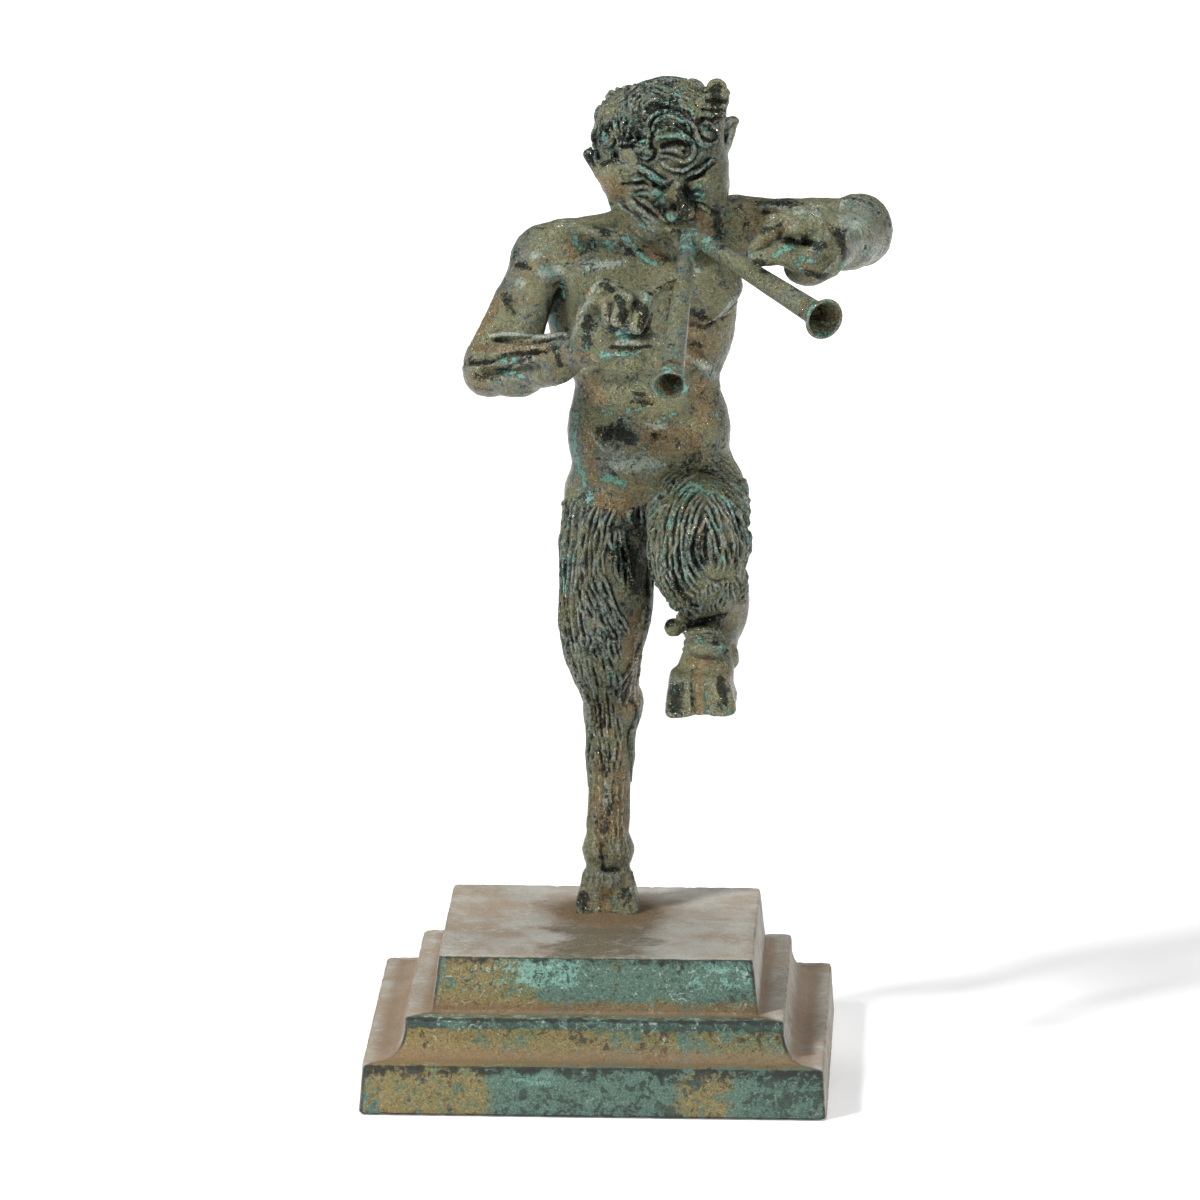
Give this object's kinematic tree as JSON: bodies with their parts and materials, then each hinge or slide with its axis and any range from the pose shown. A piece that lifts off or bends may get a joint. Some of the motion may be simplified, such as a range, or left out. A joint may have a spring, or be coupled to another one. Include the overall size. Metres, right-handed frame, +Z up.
{
  "type": "bronze faun statuette",
  "caption": "Bronze statuette of a dancing faun on one hoof playing the double pipes, on a stepped square bronze plinth.",
  "frame": {"origin": "centre of the plinth's underside, on the surface that the statuette stands on", "axes": "+Z up, -Y the way the faun faces, +X towards the faun's left side"},
  "size_m": [0.1007, 0.1054, 0.1948],
  "materials": {
    "figure_bronze": "brown and black cast bronze with green patina in the hollows and bright worn points, half gloss",
    "plinth_bronze": "dusty grey-green weathered bronze with dark arrises and brown dirt on the ledges, dull"
  },
  "bodies": {
    "root": {"faun": "figure_bronze", "plinth": "plinth_bronze"}
  },
  "joints": []
}
